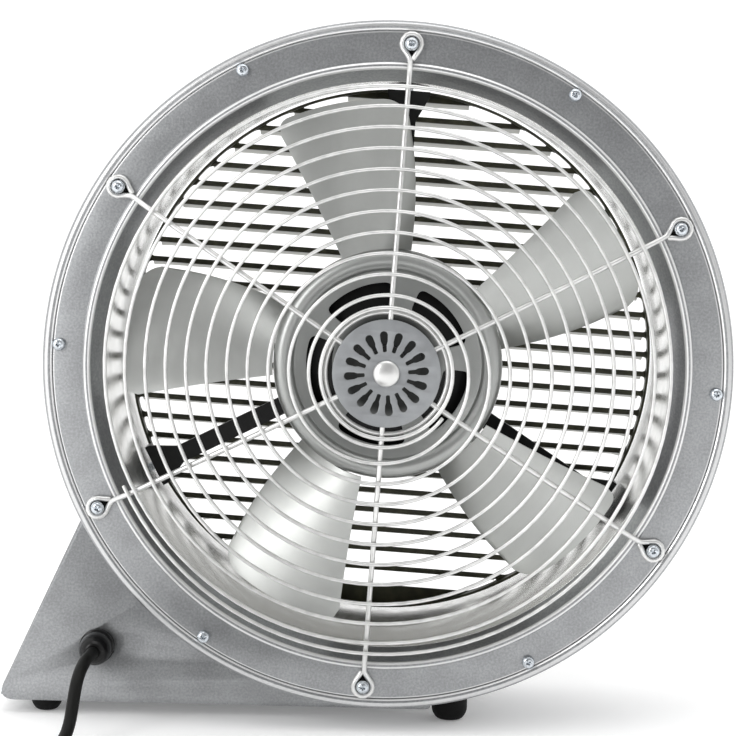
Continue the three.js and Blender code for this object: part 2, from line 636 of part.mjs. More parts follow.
add(fan, "base_front_plate", baseFrontPlate(), HAMMERTONE);
add(fan, "base_rear_plate", baseRearPlate(), HAMMERTONE);
add(fan, "base_skirt", baseSkirt(), HAMMERTONE);
FEET_Y.forEach((y, i) => FEET.forEach(({ side, x, r, top }) => {
  const name = `foot_${i === 0 ? "front" : "rear"}_${side}`;
  add(machine, name, foot(r, top).translate(AXIS.x + x, AXIS.y + y, 0), RUBBER);
}));
add(fan, "cable_gland", cableGland().translate(GLAND[0], 0, GLAND[1]), PLASTIC);
add(fan, "gland_nut", glandNut().translate(GLAND[0], 0, GLAND[1]), PLASTIC);
add(fan, "switch_bezel", hollowBezel(), PLASTIC);
add(fan, "switch_rocker", switchRocker(), PLASTIC);
add(fan, "capacitor", capacitor(), PLASTIC);
add(fan, "terminal_block", terminalBlock(), PLASTIC);

add(machine, "cord", wireAlong(smooth(LEAD_ROUTE), CORD, 34, 8), CORD_BLACK);
add(machine, "cord_coil", coilSolid(), CORD_BLACK);
add(machine, "cord_tail", wireAlong(smooth(TAIL_ROUTE), CORD, 16, 8), CORD_BLACK);
add(machine, "plug", plug(), PLASTIC);

export default machine;
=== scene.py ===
"""The looks of a drum air mover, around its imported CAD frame. Metres, +Z up."""

import json
import math

import bmesh
import bpy
from mathutils import Matrix, Vector


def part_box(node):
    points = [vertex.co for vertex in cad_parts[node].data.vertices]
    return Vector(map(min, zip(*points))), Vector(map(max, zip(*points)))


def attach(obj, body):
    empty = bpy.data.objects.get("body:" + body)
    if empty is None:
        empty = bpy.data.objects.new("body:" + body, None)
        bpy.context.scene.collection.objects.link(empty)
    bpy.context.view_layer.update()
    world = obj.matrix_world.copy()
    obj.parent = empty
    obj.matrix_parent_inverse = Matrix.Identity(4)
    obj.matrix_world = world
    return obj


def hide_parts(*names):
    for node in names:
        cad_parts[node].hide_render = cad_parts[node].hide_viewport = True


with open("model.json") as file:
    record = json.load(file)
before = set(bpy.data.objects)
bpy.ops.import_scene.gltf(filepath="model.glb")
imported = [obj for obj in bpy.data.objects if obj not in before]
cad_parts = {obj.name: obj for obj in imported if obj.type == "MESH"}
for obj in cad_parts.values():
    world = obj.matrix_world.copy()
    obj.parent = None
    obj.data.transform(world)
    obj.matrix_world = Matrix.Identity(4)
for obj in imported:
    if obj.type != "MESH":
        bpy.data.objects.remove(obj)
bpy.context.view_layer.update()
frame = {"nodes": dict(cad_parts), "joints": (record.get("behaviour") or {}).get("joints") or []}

MM = 0.001
TAU = 2 * math.pi

# ---- places, from the frame ----
spin = next(j for j in frame["joints"] if j["name"] == "impeller_spin")
AXIS = Vector((spin["pos_m"][0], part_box("front_ring")[0].y, spin["pos_m"][2]))
DRUM_CLOCK = math.radians(3.2)  # the drum is turned clockwise in its base
FAN = Matrix.Translation(AXIS)
DRUM = FAN @ Matrix.Rotation(DRUM_CLOCK, 4, "Y")

# ---- driving dimensions, in millimetres from the impeller's axis and the bead's crest ----
SHELL_R, SHEET, SHELL_BACK = 215, 1.5, 174
FACE_Y, FACE_IN_R, FACE_OUT_R = 3, 229, 251.6
RIM_R, RIM_BACK = 260, 34
GUARD_SCREW_R, RING_SCREW_R = 242.6, 247.5
SPOKE_WIRE, SPIRAL_WIRE, DOME = 4.3, 2.9, 33
SPIRAL_R, SPIRAL_END_R, SPIRAL_STEP, SPIRAL_TURNS = 213.5, 54, 15.4, 11.33
SPIRAL_START, SPIRAL_OFFSET = 205, Vector((-1.9, 0, -0.9))
HUB_R, HUB_FRONT, HUB_BACK, TIP_R = 88, 33, 72, 203
BLADES, BLADE_SHEET, BLADE_MID = 5, 2.4, 52
LOUVRE_Y, LOUVRE_PITCH, LOUVRE_RISE, LOUVRE_BAR = 168, 16.15, 4.5, 4.2
LOUVRE_DEPTH, LOUVRE_SLOPE = 19, 11
BASE_FRONT, BASE_BACK, PLATE, CRADLE_R = 35, 150, 2, 218.5
BASE_Z, BASE_LEFT, BASE_RIGHT, APEX = -267.5, -300, 74, (-210.5, -72)
STEP = (38.5, -246)
GLAND = (-220.6, -222.8)
SWITCH = (-190, -215)
EYELETS = [30 + 60 * i for i in range(6)]
EYE_R = 243  # of an eyelet's middle, from the axis
BETWEEN = [60 * i for i in range(6)]


# ================= camera =================
def make_camera():
    """In front of the guard, a little above the axis and to its right."""
    offset = Vector((0.019, -1.700, 0.161))
    yaw, pitch, roll = math.radians(0.48), math.radians(0.03), math.radians(1.1)
    data = bpy.data.cameras.new("camera")
    data.sensor_width = 36
    data.lens = 111.4
    camera = bpy.data.objects.new("camera", data)
    bpy.context.scene.collection.objects.link(camera)
    look = (-offset).to_track_quat("-Z", "Y").to_matrix().to_4x4()
    turn = Matrix.Rotation(yaw, 4, "Z")
    spin_view = Matrix.Rotation(pitch, 4, "X") @ Matrix.Rotation(roll, 4, "Z")
    camera.matrix_world = Matrix.Translation(AXIS + offset) @ turn @ look @ spin_view
    bpy.context.scene.camera = camera


make_camera()


# ================= nodes for materials =================
def new_material(name):
    material = bpy.data.materials.new(name)
    material.use_nodes = True
    tree = material.node_tree
    return material, tree, tree.nodes["Principled BSDF"]


def add_node(tree, kind, inputs=None, **settings):
    node = tree.nodes.new(kind)
    for key, value in settings.items():
        setattr(node, key, value)
    for key, value in (inputs or {}).items():
        node.inputs[key].default_value = value
    return node


def coordinates(tree, scale=(1, 1, 1)):
    source = add_node(tree, "ShaderNodeTexCoord")
    mapping = add_node(tree, "ShaderNodeMapping", {"Scale": scale})
    tree.links.new(source.outputs["Object"], mapping.inputs["Vector"])
    return mapping.outputs["Vector"]


def noise(tree, vector, scale, detail=3.0, roughness=0.5):
    values = {"Scale": scale, "Detail": detail, "Roughness": roughness}
    node = add_node(tree, "ShaderNodeTexNoise", values)
    tree.links.new(vector, node.inputs["Vector"])
    return node.outputs["Fac"]


def cells(tree, vector, scale, smooth=0.4):
    values = {"Scale": scale, "Smoothness": smooth}
    node = add_node(tree, "ShaderNodeTexVoronoi", feature="SMOOTH_F1")
    for key, value in values.items():
        node.inputs[key].default_value = value
    tree.links.new(vector, node.inputs["Vector"])
    return node


def ramp(tree, factor, stops):
    node = add_node(tree, "ShaderNodeValToRGB")
    elements = node.color_ramp.elements
    while len(elements) < len(stops):
        elements.new(0.5)
    for element, (place, colour) in zip(elements, stops):
        element.position = place
        element.color = (*colour, 1) if isinstance(colour, tuple) else (colour,) * 3 + (1,)
    tree.links.new(factor, node.inputs["Fac"])
    return node.outputs["Color"]


def span(tree, factor, low, high):
    node = add_node(tree, "ShaderNodeMapRange")
    node.inputs["To Min"].default_value = low
    node.inputs["To Max"].default_value = high
    tree.links.new(factor, node.inputs["Value"])
    return node.outputs["Result"]


def bump(tree, shader, height, strength, distance, under=None):
    node = add_node(tree, "ShaderNodeBump", {"Strength": strength, "Distance": distance})
    tree.links.new(height, node.inputs["Height"])
    if under is not None:
        tree.links.new(under, node.inputs["Normal"])
    tree.links.new(node.outputs["Normal"], shader.inputs["Normal"])
    return node.outputs["Normal"]


def graded(tree, factor, base, steps=(0.88, 1.0, 1.1), places=(0.32, 0.5, 0.7)):
    """A colour that wanders about its base with the factor."""
    shades = [tuple(c * k for c in base) for k in steps]
    return ramp(tree, factor, list(zip(places, shades)))


def axis_distance(tree):
    """Distance from the impeller's axis, at rest and as it spins."""
    source = add_node(tree, "ShaderNodeTexCoord")
    flat = add_node(tree, "ShaderNodeVectorMath", operation="MULTIPLY_ADD")
    flat.inputs[1].default_value = (1, 0, 1)
    flat.inputs[2].default_value = (-AXIS.x, 0, -AXIS.z)
    tree.links.new(source.outputs["Object"], flat.inputs[0])
    length = add_node(tree, "ShaderNodeVectorMath", operation="LENGTH")
    tree.links.new(flat.outputs[0], length.inputs[0])
    return length.outputs["Value"]


def depth_behind(tree):
    source = add_node(tree, "ShaderNodeTexCoord")
    split = add_node(tree, "ShaderNodeSeparateXYZ")
    tree.links.new(source.outputs["Object"], split.inputs[0])
    return split.outputs["Y"]


def between(tree, value, low, high):
    """0 below low, 1 above high."""
    node = add_node(tree, "ShaderNodeMapRange", {"From Min": low, "From Max": high})
    node.interpolation_type = "SMOOTHSTEP"
    tree.links.new(value, node.inputs["Value"])
    return node.outputs["Result"]


def blend_colours(tree, factor, first, second):
    node = add_node(tree, "ShaderNodeMix", data_type="RGBA")
    tree.links.new(factor, node.inputs[0])
    for socket, colour in ((node.inputs[6], first), (node.inputs[7], second)):
        if isinstance(colour, tuple):
            socket.default_value = (*colour, 1)
        else:
            tree.links.new(colour, socket)
    return node.outputs[2]


def painted_highlight_bands(tree, highlight_bands):
    """Painted highlights: 1 where a light grey is painted in place of highlights, by distance
    from the axis: (from, to, how bright).
    """
    low, wide, edge = 0.222, 0.040, 0.0003
    stops = [(0.0, 0.0)]
    for start, end, lightness in highlight_bands:
        for r, value in ((start - edge, 0), (start, lightness), (end, lightness), (end + edge, 0)):
            stops.append(((r - low) / wide, value))
    placed = add_node(tree, "ShaderNodeMapRange", {"From Min": low, "From Max": low + wide})
    tree.links.new(axis_distance(tree), placed.inputs["Value"])
    return ramp(tree, placed.outputs["Result"], stops)


def hammertone(name="hammertone", highlight_bands=()):
    """Silver-grey powder coat: fine flakes, a dimpled skin and a clear gloss over them, with
    light grey bands of painted highlight when such bands are given.
    """
    material, tree, shader = new_material(name)
    place = coordinates(tree)
    flakes = noise(tree, place, 560, 2.0, 0.6)
    clouds = noise(tree, place, 46, 3.0)
    mixed = add_node(tree, "ShaderNodeMath", operation="MULTIPLY_ADD")
    mixed.inputs[1].default_value = 0.5
    tree.links.new(clouds, mixed.inputs[0])
    tree.links.new(flakes, mixed.inputs[2])
    colour = graded(tree, mixed.outputs[0], (0.315, 0.322, 0.330), (0.84, 1.0, 1.18),
                    (0.55, 0.75, 0.95))
    if highlight_bands:
        # Painted highlights: light grey rings mixed into the colour by distance from the axis.
        colour = blend_colours(tree, painted_highlight_bands(tree, highlight_bands), colour, (0.9, 0.9, 0.9))
    tree.links.new(colour, shader.inputs["Base Color"])
    tree.links.new(span(tree, flakes, 0.3, 0.42), shader.inputs["Roughness"])
    shader.inputs["Metallic"].default_value = 0.8
    shader.inputs["Coat Weight"].default_value = 0.6
    shader.inputs["Coat Roughness"].default_value = 0.14
    dimples = cells(tree, place, 620)
    lower = bump(tree, shader, dimples.outputs["Distance"], 0.1, 0.0003)
    bump(tree, shader, flakes, 0.06, 0.0002, lower)
    return material


def bright_sheet(name, base, rough):
    """Galvanised sheet inside, with faint spangles and rolling streaks, and painted outside."""
    material, tree, shader = new_material(name)
    spangle = cells(tree, coordinates(tree), 70, 0.1)
    grain = noise(tree, coordinates(tree, (1, 10, 1)), 60, 3.0)
    outside = between(tree, axis_distance(tree), 0.2154, 0.2160)
    bright = graded(tree, grain, base, (0.95, 1.0, 1.04))
    paint = graded(tree, noise(tree, coordinates(tree), 560), (0.335, 0.342, 0.350))
    tree.links.new(blend_colours(tree, outside, bright, paint), shader.inputs["Base Color"])
    duller = add_node(tree, "ShaderNodeMath", operation="MULTIPLY_ADD")
    duller.inputs[1].default_value = 0.2
    tree.links.new(outside, duller.inputs[0])
    tree.links.new(span(tree, spangle.outputs["Distance"], *rough), duller.inputs[2])
    tree.links.new(duller.outputs[0], shader.inputs["Roughness"])
    shader.inputs["Metallic"].default_value = 0.85
    bump(tree, shader, grain, 0.03, 0.0003)
    return material


def louvre_metal(name="louvre_metal"):
    """Sheet with a near-black inner face, a darker paint deepened by painted shade, with bare
    tongues bent out to the rear.
    """
    material, tree, shader = new_material(name)
    grain = noise(tree, coordinates(tree), 90, 4.0)
    outside = between(tree, depth_behind(tree), AXIS.y + 0.1699, AXIS.y + 0.1712)
    # Painted shade over a darker paint: the inner face, in front of the tongues, is near-black.
    inner = graded(tree, grain, (0.040, 0.040, 0.022), (0.7, 1.0, 1.6))
    bare = graded(tree, grain, (0.46, 0.46, 0.43))
    tree.links.new(blend_colours(tree, outside, inner, bare), shader.inputs["Base Color"])
    tree.links.new(span(tree, grain, 0.38, 0.52), shader.inputs["Roughness"])
    shader.inputs["Metallic"].default_value = 0.25
    bump(tree, shader, grain, 0.08, 0.0003)
    return material


def satin(name, base, rough, painted_shade_middle=False, stretch=(1, 1, 1)):
    """Rolled aluminium sheet with a soft sheen and faint handling marks; its middle can be
    painted near-black as painted shade.
    """
    material, tree, shader = new_material(name)
    place = coordinates(tree, stretch)
    clouds = noise(tree, place, 22, 5.0, 0.6)
    fine = noise(tree, place, 900, 2.0)
    colour = graded(tree, clouds, base, (0.93, 1.0, 1.05))
    if painted_shade_middle:
        # Painted shade: near-black within about 40 mm of the axis, where the disc in front shades
        # the hub.
        outwards = between(tree, axis_distance(tree), 0.034, 0.047)
        colour = blend_colours(tree, outwards, tuple(c * 0.12 for c in base), colour)
    tree.links.new(colour, shader.inputs["Base Color"])
    tree.links.new(span(tree, clouds, *rough), shader.inputs["Roughness"])
    shader.inputs["Metallic"].default_value = 0.85
    bump(tree, shader, fine, 0.03, 0.0002)
    return material


def wire(name="wire"):
    """Drawn wire, zinc plated to a pale silver."""
    material, tree, shader = new_material(name)
    marks = noise(tree, coordinates(tree), 120, 3.0)
    tree.links.new(graded(tree, marks, (0.78, 0.78, 0.77), (0.88, 1.0, 1.1)),
                   shader.inputs["Base Color"])
    tree.links.new(span(tree, marks, 0.26, 0.36), shader.inputs["Roughness"])
    shader.inputs["Metallic"].default_value = 0.8
    bump(tree, shader, marks, 0.04, 0.0003)
    return material


def zinc(name="zinc"):
    """Bright zinc plate, a little blue."""
    material, tree, shader = new_material(name)
    marks = noise(tree, coordinates(tree), 500, 4.0)
    tree.links.new(graded(tree, marks, (0.62, 0.66, 0.70), (0.8, 1.0, 1.15)),
                   shader.inputs["Base Color"])
    tree.links.new(span(tree, marks, 0.14, 0.28), shader.inputs["Roughness"])
    shader.inputs["Metallic"].default_value = 0.95
    bump(tree, shader, marks, 0.05, 0.0002)
    return material


def grey_paint(name="grey_paint"):
    material, tree, shader = new_material(name)
    place = coordinates(tree)
    skin = noise(tree, place, 700, 3.0)
    patches = noise(tree, place, 60, 3.0)
    tree.links.new(graded(tree, patches, (0.29, 0.30, 0.31)), shader.inputs["Base Color"])
    tree.links.new(span(tree, skin, 0.36, 0.5), shader.inputs["Roughness"])
    shader.inputs["Metallic"].default_value = 0.4
    bump(tree, shader, skin, 0.2, 0.0002)
    return material


def black(name, rough, base, scale, strength, shine=0.5, tint=(1, 1, 1)):
    """Black paint, plastic or rubber, by its roughness and the size of its grain."""
    material, tree, shader = new_material(name)
    place = coordinates(tree)
    skin = noise(tree, place, scale, 4.0, 0.6)
    dust = noise(tree, place, 35, 4.0)
    colour = graded(tree, dust, tuple(base * t for t in tint), (0.7, 1.0, 1.9),
                    (0.35, 0.55, 0.85))
    tree.links.new(colour, shader.inputs["Base Color"])
    tree.links.new(span(tree, skin, *rough), shader.inputs["Roughness"])
    shader.inputs["Specular IOR Level"].default_value = shine
    bump(tree, shader, skin, strength, 0.0003)
    return material


HAMMERTONE = hammertone()
# Painted highlights: the bead's two flanks, the plate's edge, the rim's lip and its roll get
# light grey bands in the colour.
RING_PAINT = hammertone("ring_hammertone", [
    (0.2236, 0.2254, 1.0), (0.2272, 0.2286, 0.9), (0.2509, 0.2517, 0.6), (0.2526, 0.2536, 1.0),
    (0.2556, 0.2580, 0.55),
])
DRUM_WALL = bright_sheet("drum_wall", (0.80, 0.80, 0.78), (0.16, 0.26))
LOUVRE_METAL = louvre_metal()
SATIN = satin("satin_sheet", (0.53, 0.54, 0.525), (0.30, 0.40))
# The hub's middle carries painted shade, behind the disc.
HUB_SATIN = satin("satin_hub", (0.45, 0.46, 0.45), (0.30, 0.40), painted_shade_middle=True)
WIRE = wire()
ZINC = zinc()
GREY = grey_paint()
RIVET = satin("satin_rivet", (0.72, 0.72, 0.71), (0.26, 0.36))
SHAFT = satin("machined_steel", (0.42, 0.42, 0.42), (0.2, 0.35), stretch=(1, 30, 1))
BLACK_PAINT = black("black_paint", (0.30, 0.42), 0.003, 450, 0.05, 0.3)
PLASTIC = black("black_plastic", (0.2, 0.3), 0.0015, 600, 0.03, 0.28)
RUBBER = black("rubber", (0.55, 0.75), 0.004, 500, 0.3, 0.18)
JACKET = black("cord_jacket", (0.45, 0.6), 0.003, 700, 0.1, 0.2, (1, 1.04, 0.8))


# ================= mesh helpers =================
def finish_piece(name, mesh, material, body, replaced=(), bevel=0.0, sharp=35):
    """Links a mesh as one piece: smooth faces, sharp edges by angle, and what it stands for."""
    mesh.polygons.foreach_set("use_smooth", [True] * len(mesh.polygons))
    mesh.set_sharp_from_angle(angle=math.radians(sharp))
    piece = bpy.data.objects.new(name, mesh)
    bpy.context.scene.collection.objects.link(piece)
    mesh.materials.append(material)
    if bevel:
        edge = piece.modifiers.new("edge", "BEVEL")
        edge.width, edge.segments, edge.limit_method = bevel * MM, 2, "ANGLE"
        edge.angle_limit = math.radians(sharp)
        edge.harden_normals = True
    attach(piece, body)
    if replaced:
        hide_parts(*replaced)
    return piece


def mesh_from(bm, matrix, name):
    """A bmesh in millimetres to a mesh in metres, in place, with its faces outwards."""
    bmesh.ops.remove_doubles(bm, verts=bm.verts, dist=1e-4)
    bmesh.ops.recalc_face_normals(bm, faces=bm.faces)
    bmesh.ops.transform(bm, matrix=matrix @ Matrix.Scale(MM, 4), verts=bm.verts)
    mesh = bpy.data.meshes.new(name)
    bm.to_mesh(mesh)
    bm.free()
    return mesh


def turned(bm, profile, segments=192, place=Matrix.Identity(4), shape=None):
    """A closed profile of (radius, depth), turned round the Y axis into bm.

    shape(index, radius, angle), if given, changes each point's radius.
    """
    rings = []
    for i in range(segments):
        a = TAU * i / segments
        ring = []
        for k, (r, y) in enumerate(profile):
            wide = shape(k, r, a) if shape else r
            ring.append(bm.verts.new(place @ Vector((wide * math.cos(a), y, wide * math.sin(a)))))
        rings.append(ring)
    count = len(profile)
    for i in range(segments):
        here, there = rings[i], rings[(i + 1) % segments]
        for k in range(count):
            n = (k + 1) % count
            if profile[k][0] == 0 and profile[n][0] == 0:
                continue
            bm.faces.new((here[k], here[n], there[n], there[k]))


def rounded(profile, radius=0.6, steps=3):
    """The profile with each corner rounded, as long as its sides allow."""
    points = [Vector(p) for p in profile]
    out = []
    for i, p in enumerate(points):
        a, b = points[i - 1] - p, points[(i + 1) % len(points)] - p
        if p.x == 0 or a.length < 1e-6 or b.length < 1e-6:
            out.append(tuple(p))
            continue
        reach = min(radius, a.length * 0.4, b.length * 0.4)
        start, end = p + a.normalized() * reach, p + b.normalized() * reach
        for k in range(steps + 1):
            t = k / steps
            out.append(tuple(start * (1 - t) ** 2 + p * 2 * t * (1 - t) + end * t * t))
    return out


def sweep(bm, points, radius, sides=12, closed=False, round_ends=True):
    """A round wire along the points, with a dome on each open end."""
    count = len(points)
    tangents = []
    for i in range(count):
        if closed:
            ahead, behind = points[(i + 1) % count], points[i - 1]
        else:
            ahead, behind = points[min(i + 1, count - 1)], points[max(i - 1, 0)]
        tangents.append((ahead - behind).normalized())
    side = tangents[0].orthogonal().normalized()
    rings = []

    def ring(centre, tangent, size):
        across = tangent.cross(side)
        return [
            bm.verts.new(centre + size * (side * math.cos(TAU * k / sides)
                                          + across * math.sin(TAU * k / sides)))
            for k in range(sides)
        ]

    for i, (point, tangent) in enumerate(zip(points, tangents)):
        side = (side - tangent * side.dot(tangent)).normalized()
        if i == 0 and not closed and round_ends:
            rings.append(ring(point - tangent * radius * 0.5, tangent, radius * 0.75))
        rings.append(ring(point, tangent, radius))
        if i == count - 1 and not closed and round_ends:
            rings.append(ring(point + tangent * radius * 0.5, tangent, radius * 0.75))
    loops = len(rings)
    for i in range(loops if closed else loops - 1):
        here, there = rings[i], rings[(i + 1) % loops]
        for k in range(sides):
            n = (k + 1) % sides
            bm.faces.new((here[k], here[n], there[n], there[k]))
    if not closed:
        bm.faces.new(rings[0])
        bm.faces.new(rings[-1])


def smooth_path(points, spacing):
    """A Catmull-Rom curve through the points, sampled about every spacing."""
    ends = [points[0] * 2 - points[1], *points, points[-1] * 2 - points[-2]]
    out = []
    for i in range(1, len(ends) - 2):
        p0, p1, p2, p3 = ends[i - 1:i + 3]
        steps = max(1, round((p2 - p1).length / spacing))
        for k in range(steps):
            t = k / steps
            out.append(0.5 * (2 * p1 + (p2 - p0) * t + (2 * p0 - 5 * p1 + 4 * p2 - p3) * t ** 2
                              + (3 * p1 - p0 - 3 * p2 + p3) * t ** 3))
    out.append(points[-1])
    return out


def polar(r, degrees, y=0.0):
    """A point at an angle anticlockwise from +X, as seen from the front."""
    a = math.radians(degrees)
    return Vector((r * math.cos(a), y, r * math.sin(a)))


def at_angle(degrees):
    return Matrix.Rotation(-math.radians(degrees), 4, "Y")


def plate_mesh(name, outline, holes, y, thickness, bevel=0.3):
    """A flat sheet with holes, in the XZ plane, with softened edges."""
    curve = bpy.data.curves.new(name, "CURVE")
    curve.dimensions = "2D"
    curve.fill_mode = "BOTH"
    curve.extrude = thickness / 2 - bevel
    curve.bevel_depth = bevel
    curve.bevel_resolution = 1
    curve.offset = -bevel
    for loop in [outline, *holes]:
        spline = curve.splines.new("POLY")
        spline.points.add(len(loop) - 1)
        for point, (x, z) in zip(spline.points, loop):
            point.co = (x, z, 0, 1)
        spline.use_cyclic_u = True
    holder = bpy.data.objects.new(name, curve)
    bpy.context.scene.collection.objects.link(holder)
    bpy.context.view_layer.update()
    evaluated = holder.evaluated_get(bpy.context.evaluated_depsgraph_get())
    made = bpy.data.meshes.new_from_object(evaluated)
    bm = bmesh.new()
    bm.from_mesh(made)
    bpy.data.objects.remove(holder)
    bpy.data.curves.remove(curve)
    bpy.data.meshes.remove(made)
    upright = Matrix.Translation((0, y + thickness / 2, 0)) @ Matrix.Rotation(TAU / 4, 4, "X")
    bmesh.ops.transform(bm, matrix=upright, verts=bm.verts)
    return bm


def circle_points(r, count, centre=(0, 0)):
    step = TAU / count
    return [(centre[0] + r * math.cos(i * step), centre[1] + r * math.sin(i * step))
            for i in range(count)]


def arc(cx, cz, r, start, end, steps):
    """Points of an arc, angles in degrees."""
    out = []
    for k in range(steps + 1):
        a = math.radians(start + (end - start) * k / steps)
        out.append((cx + r * math.cos(a), cz + r * math.sin(a)))
    return out


# ================= cord, first =================
CORD = 9.5 * MM
COIL = Vector((-0.1306, -0.3104, 0))
COIL_INNER, COIL_OUTER, COIL_TURNS = 0.038, 0.095, 6
FLOOR_Z, UPPER_Z = 0.0049, 0.0144
LEAD_ROUTE = [
    (-0.2023, -0.0667, 0.0552), (-0.2028, -0.0760, 0.0552), (-0.2036, -0.0864, 0.0550),
    (-0.2048, -0.0972, 0.0534), (-0.2064, -0.1074, 0.0486), (-0.2077, -0.1161, 0.0408),
    (-0.2087, -0.1234, 0.0298), (-0.2096, -0.1307, 0.0188), (-0.2110, -0.1394, 0.0112),
    (-0.2130, -0.1494, 0.0065), (-0.2153, -0.1604, 0.0049), (-0.2182, -0.1764, 0.0049),
    (-0.2206, -0.1944, 0.0049), (-0.2228, -0.2124, 0.0049), (-0.2244, -0.2304, 0.0049),
    (-0.2254, -0.2484, 0.0049), (-0.2256, -0.2660, 0.0049),
]
TAIL_ROUTE = [
    (-0.0860, -0.4054, 0.0144), (-0.0736, -0.4048, 0.0136), (-0.0596, -0.4024, 0.0112),
    (-0.0446, -0.3974, 0.0080), (-0.0306, -0.3889, 0.0058), (-0.0196, -0.3774, 0.0050),
    (-0.0121, -0.3634, 0.0054), (-0.0086, -0.3484, 0.0074), (-0.0076, -0.3334, 0.0104),
    (-0.0076, -0.3194, 0.0120),
]


def coil_points(per_turn=24):
    """Two flat layers: inwards on the floor, a step up, then outwards on top."""
    turns_out = COIL_TURNS + 0.25
    total = COIL_TURNS + 1 + turns_out
    count = round(total * per_turn)
    points = []
    for i in range(count + 1):
        t = total * i / count
        if t < COIL_TURNS:
            r, z = COIL_OUTER - (COIL_OUTER - COIL_INNER) * t / COIL_TURNS, FLOOR_Z
        elif t < COIL_TURNS + 1:
            rise = t - COIL_TURNS
            r = COIL_INNER
            z = FLOOR_Z + (UPPER_Z - FLOOR_Z) * math.sqrt(1 - (1 - rise) ** 2)
        else:
            out = t - COIL_TURNS - 1
            r, z = COIL_INNER + (COIL_OUTER - COIL_INNER) * out / turns_out, UPPER_Z
        a = math.pi + TAU * t
        points.append(COIL + Vector((r * math.cos(a), r * math.sin(a), z)))
    return points


def block(bm, centre, size):
    bmesh.ops.create_cube(bm, size=1, matrix=Matrix.Translation(centre)
                          @ Matrix.Diagonal((*size, 1)))


def make_plug():
    """A moulded three-pin plug, lying flat: drawn upright, pins up, and laid down."""
    place = Matrix.Translation((-0.0076, -0.319, 0.012)) @ Matrix.Rotation(-TAU / 4, 4, "X")
    side = [(5.4, 0.3), (7, 16), (13.5, 22), (13.5, 58)]
    outline = rounded(side + [(-x, z) for x, z in reversed(side)], 2.6, 4)
    bm = plate_mesh("plug", outline, [], -11, 22, 2.4)
    body = finish_piece("plug_body", mesh_from(bm, place, "plug_body"), PLASTIC,
                        "frame", ["plug"])
    bm = bmesh.new()
    for x in (-6.35, 6.35):
        block(bm, (x, 3, 66), (1.6, 6.4, 17))
    sweep(bm, [Vector((0, -6.2, z)) for z in (57, 63, 69, 75.4)], 2.4, 16)
    pins = finish_piece("plug_pins", mesh_from(bm, place, "plug_pins"), ZINC,
                        "frame", bevel=0.3)
    return [body, pins]


def make_handle():
    """A rubber-covered strap over the drum, on two feet, behind the top of the rim."""
    front, rear, r = 45, 156.5, 246
    strap = [(0, front, 218.5), (0, front + 1, 236), (0, front + 10, r),
             (0, (front + rear) / 2, r + 2), (0, rear - 10, r), (0, rear - 1, 236),
             (0, rear, 218.5)]
    bm = bmesh.new()
    sweep(bm, smooth_path([Vector(p) for p in strap], 3), 7, 24, round_ends=False)
    for y in (front, rear):
        block(bm, (0, y, 218.6), (30, 16, 3))
    finish_piece("carry_strap", mesh_from(bm, DRUM, "carry_strap"), RUBBER,
                 "frame", ["carry_handle"], bevel=0.8)


def make_cord():
    route = [Vector(p) for p in LEAD_ROUTE] + coil_points() + [Vector(p) for p in TAIL_ROUTE]
    path = smooth_path(route, 0.004)
    bm = bmesh.new()
    sweep(bm, path, CORD / 2, 14, round_ends=False)
    bmesh.ops.recalc_face_normals(bm, faces=bm.faces)
    mesh = bpy.data.meshes.new("cord_whole")
    bm.to_mesh(mesh)
    bm.free()
    piece = finish_piece("cord_whole", mesh, JACKET, "frame",
                         ("cord", "cord_coil", "cord_tail"))
    make_plug()


make_cord()


# ================= stage and light =================
def make_stage():
    """A plain pale floor; the soft light from above and both sides is made after it, by the area
    lights.
    """
    bm = bmesh.new()
    bmesh.ops.create_grid(bm, x_segments=1, y_segments=1, size=6)
    mesh = bpy.data.meshes.new("floor")
    bm.to_mesh(mesh)
    bm.free()
    floor = bpy.data.objects.new("floor", mesh)
    bpy.context.scene.collection.objects.link(floor)
    material, tree, shader = new_material("floor_white")
    shader.inputs["Base Color"].default_value = (0.95, 0.95, 0.95, 1)
    shader.inputs["Emission Color"].default_value = (1, 1, 1, 1)
    shader.inputs["Emission Strength"].default_value = 0.14
    shader.inputs["Roughness"].default_value = 0.8
    mesh.materials.append(material)


def area_light(name, place, target, size, power, colour=(1, 1, 1)):
    data = bpy.data.lights.new(name, "AREA")
    data.shape, data.size, data.size_y = "RECTANGLE", size[0], size[1]
    data.energy, data.color = power, colour
    light = bpy.data.objects.new(name, data)
    bpy.context.scene.collection.objects.link(light)
    place = Vector(place)
    turn = (Vector(target) - place).to_track_quat("-Z", "Y").to_matrix().to_4x4()
    light.matrix_world = Matrix.Translation(place) @ turn


def make_world():
    """White all round to look at; as a light, dimmer on the side that the guard faces."""
    world = bpy.data.worlds.new("world")
    bpy.context.scene.world = world
    world.use_nodes = True
    tree = world.node_tree
    back = tree.nodes["Background"]
    source = add_node(tree, "ShaderNodeTexCoord")
    split = add_node(tree, "ShaderNodeSeparateXYZ")
    tree.links.new(source.outputs["Generated"], split.inputs[0])
    towards_back = between(tree, split.outputs["Y"], -1.0, 1.0)
    towards_back.node.interpolation_type = "LINEAR"
    shade = ramp(tree, towards_back, [(0.0, 0.22), (0.2, 0.42), (0.4, 0.95), (0.5, 1.0)])
    seen = add_node(tree, "ShaderNodeLightPath").outputs["Is Camera Ray"]
    tree.links.new(blend_colours(tree, seen, shade, (1.0, 1.0, 1.0)), back.inputs["Color"])
    back.inputs["Strength"].default_value = 1.25


make_stage()
make_world()
area_light("key", (-1.6, -1.7, 1.0), (0, 0, 0.28), (0.9, 1.5), 22)
area_light("fill", (1.3, -2.1, 0.4), (0, 0, 0.28), (0.6, 1.2), 1.5)
area_light("top", (0.1, -0.7, 2.6), (0, 0, 0.28), (1.8, 0.9), 9)
bpy.context.scene.view_settings.view_transform = "Standard"


